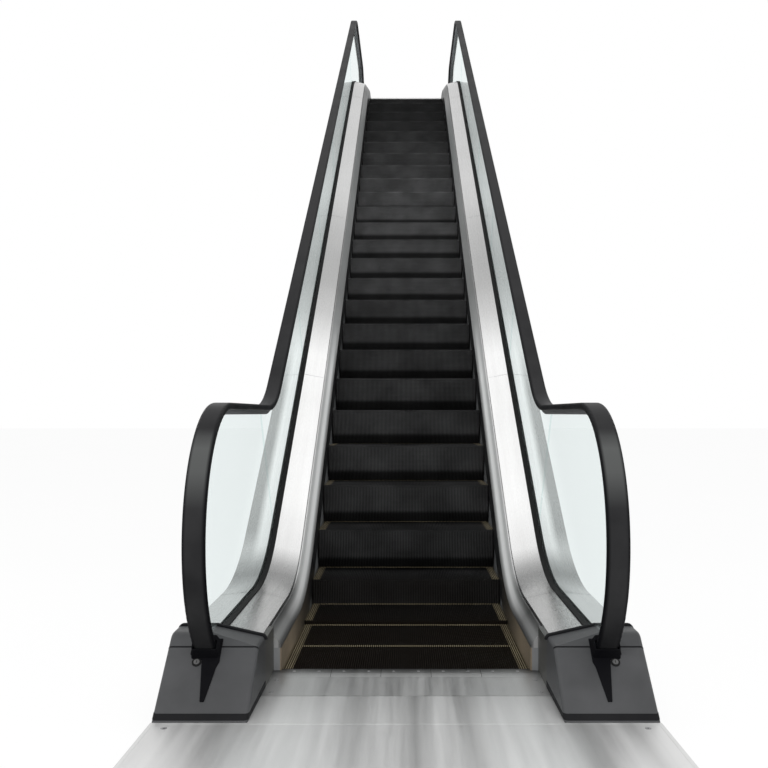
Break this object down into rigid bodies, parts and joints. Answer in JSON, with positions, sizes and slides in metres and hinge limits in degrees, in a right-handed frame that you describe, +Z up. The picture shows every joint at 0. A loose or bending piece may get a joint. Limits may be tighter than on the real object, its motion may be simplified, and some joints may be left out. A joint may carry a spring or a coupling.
{
  "type": "escalator",
  "caption": "Escalator between two floors: cleated moving steps under combs, glass balustrades with black handrails, steel decks and dark inlet caps.",
  "frame": {"origin": "on the ground under the lower landing, in the middle of the line where the comb meets the steps", "axes": "+X to the right for someone stepping on at the bottom, +Y along the incline in plan, +Z up"},
  "size_m": [1.724, 14.5288, 6.597],
  "materials": {
    "step_aluminium": "die-cast aluminium painted near black, worn brighter on the cleats",
    "truss_paint": "grey paint over welded steel",
    "cladding_steel": "brushed stainless sheet",
    "skirt_paint": "pale low-friction coating",
    "cover_aluminium": "satin anodised",
    "deck_steel": "brushed stainless sheet",
    "clamp_rubber": "black rubber glazing profile",
    "handrail_rubber": "black rubber, polished by hands on top",
    "guide_steel": "rolled steel",
    "balustrade_glass": "clear toughened glass with a faint green cast",
    "floor_steel": "brushed stainless plate",
    "comb_aluminium": "ribbed aluminium",
    "panel_plastic": "moulded, mid grey",
    "boot_rubber": "black moulded rubber",
    "switch_steel": "polished key barrel in a dark ring",
    "cap_plastic": "moulded dark grey, fine grain"
  },
  "bodies": {
    "root": {"steps_01": "step_aluminium", "steps_02": "step_aluminium", "steps_03": "step_aluminium", "steps_04": "step_aluminium", "truss_core": "truss_paint", "left_side_frame": "truss_paint", "left_side_cladding": "cladding_steel", "left_skirt": "skirt_paint", "left_skirt_cover": "cover_aluminium", "left_inner_deck": "deck_steel", "left_glass_clamp": "clamp_rubber", "left_outer_deck": "deck_steel", "left_handrail": "handrail_rubber", "left_handrail_guide": "guide_steel", "left_glass": "balustrade_glass", "right_side_frame": "truss_paint", "right_side_cladding": "cladding_steel", "right_skirt": "skirt_paint", "right_skirt_cover": "cover_aluminium", "right_inner_deck": "deck_steel", "right_glass_clamp": "clamp_rubber", "right_outer_deck": "deck_steel", "right_handrail": "handrail_rubber", "right_handrail_guide": "guide_steel", "right_glass": "balustrade_glass", "lower_landing_frame": "truss_paint", "lower_floor_plate": "floor_steel", "lower_comb_plate": "comb_aluminium", "lower_end_panels": "panel_plastic", "lower_inlet_boots": "boot_rubber", "lower_key_switches": "switch_steel", "lower_left_inlet_cap": "cap_plastic", "lower_right_inlet_cap": "cap_plastic", "upper_landing_frame": "truss_paint", "upper_floor_plate": "floor_steel", "upper_comb_plate": "comb_aluminium", "upper_end_panels": "panel_plastic", "upper_inlet_boots": "boot_rubber", "upper_key_switches": "switch_steel", "upper_left_inlet_cap": "cap_plastic", "upper_right_inlet_cap": "cap_plastic", "soffit": "cladding_steel", "upper_support_angle": "truss_paint"}
  },
  "joints": []
}
